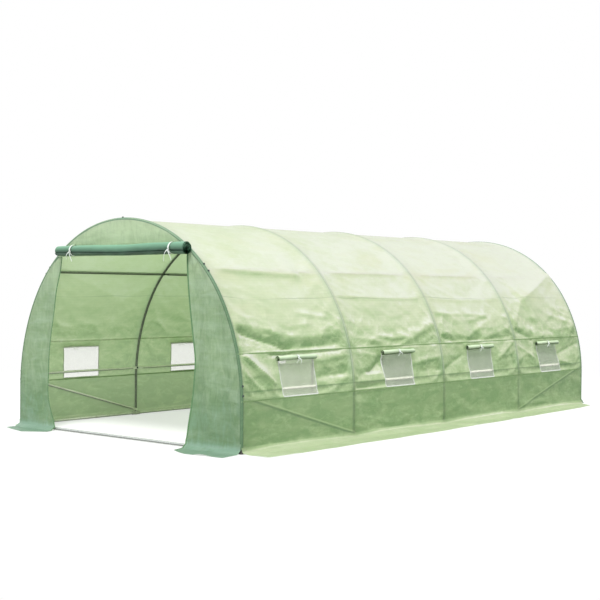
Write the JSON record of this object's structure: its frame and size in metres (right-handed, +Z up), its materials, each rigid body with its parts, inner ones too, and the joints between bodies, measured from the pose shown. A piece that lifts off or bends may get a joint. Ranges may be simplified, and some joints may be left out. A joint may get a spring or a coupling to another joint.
{
  "type": "polytunnel greenhouse",
  "caption": "Walk-in arched polytunnel greenhouse: steel tube hoops, purlins and braces under a sewn sheet cover with screened side windows, ground skirts and a rolled-up front door.",
  "frame": {"origin": "on the ground at the middle of the tunnel", "axes": "+Z up, +Y along the tunnel from the door end to the closed end, +X to the right seen from the door"},
  "size_m": [3.6066, 6.6066, 2.0033],
  "materials": {
    "steel_tube": "galvanised satin",
    "black_foot": "matte moulded",
    "green_sheet": "woven coated sheet, translucent",
    "end_sheet": "woven coated sheet, translucent",
    "door_sheet": "woven coated sheet, rolled",
    "window_mesh": "fine insect mesh",
    "white_tape": "woven tape"
  },
  "bodies": {
    "root": {"front_hoop": "steel_tube", "second_hoop": "steel_tube", "middle_hoop": "steel_tube", "fourth_hoop": "steel_tube", "back_hoop": "steel_tube", "ridge_purlin": "steel_tube", "left_upper_purlin": "steel_tube", "right_upper_purlin": "steel_tube", "left_lower_purlin": "steel_tube", "right_lower_purlin": "steel_tube", "left_base_rail": "steel_tube", "right_base_rail": "steel_tube", "front_base_rail": "steel_tube", "back_base_rail": "steel_tube", "front_left_brace": "steel_tube", "front_right_brace": "steel_tube", "back_left_brace": "steel_tube", "back_right_brace": "steel_tube", "left_feet": "black_foot", "right_feet": "black_foot", "left_lower_cover": "green_sheet", "right_lower_cover": "green_sheet", "left_window_band": "green_sheet", "right_window_band": "green_sheet", "left_haunch_cover": "green_sheet", "right_haunch_cover": "green_sheet", "left_roof_cover": "green_sheet", "right_roof_cover": "green_sheet", "front_left_wing": "end_sheet", "front_right_wing": "end_sheet", "front_gable": "end_sheet", "back_wall": "end_sheet", "left_skirt": "green_sheet", "right_skirt": "green_sheet", "front_left_skirt": "green_sheet", "front_right_skirt": "green_sheet", "back_skirt": "green_sheet", "left_window_screens": "window_mesh", "right_window_screens": "window_mesh", "left_window_rolls": "green_sheet", "right_window_rolls": "green_sheet", "door_roll": "door_sheet", "roll_ties": "white_tape"}
  },
  "joints": []
}
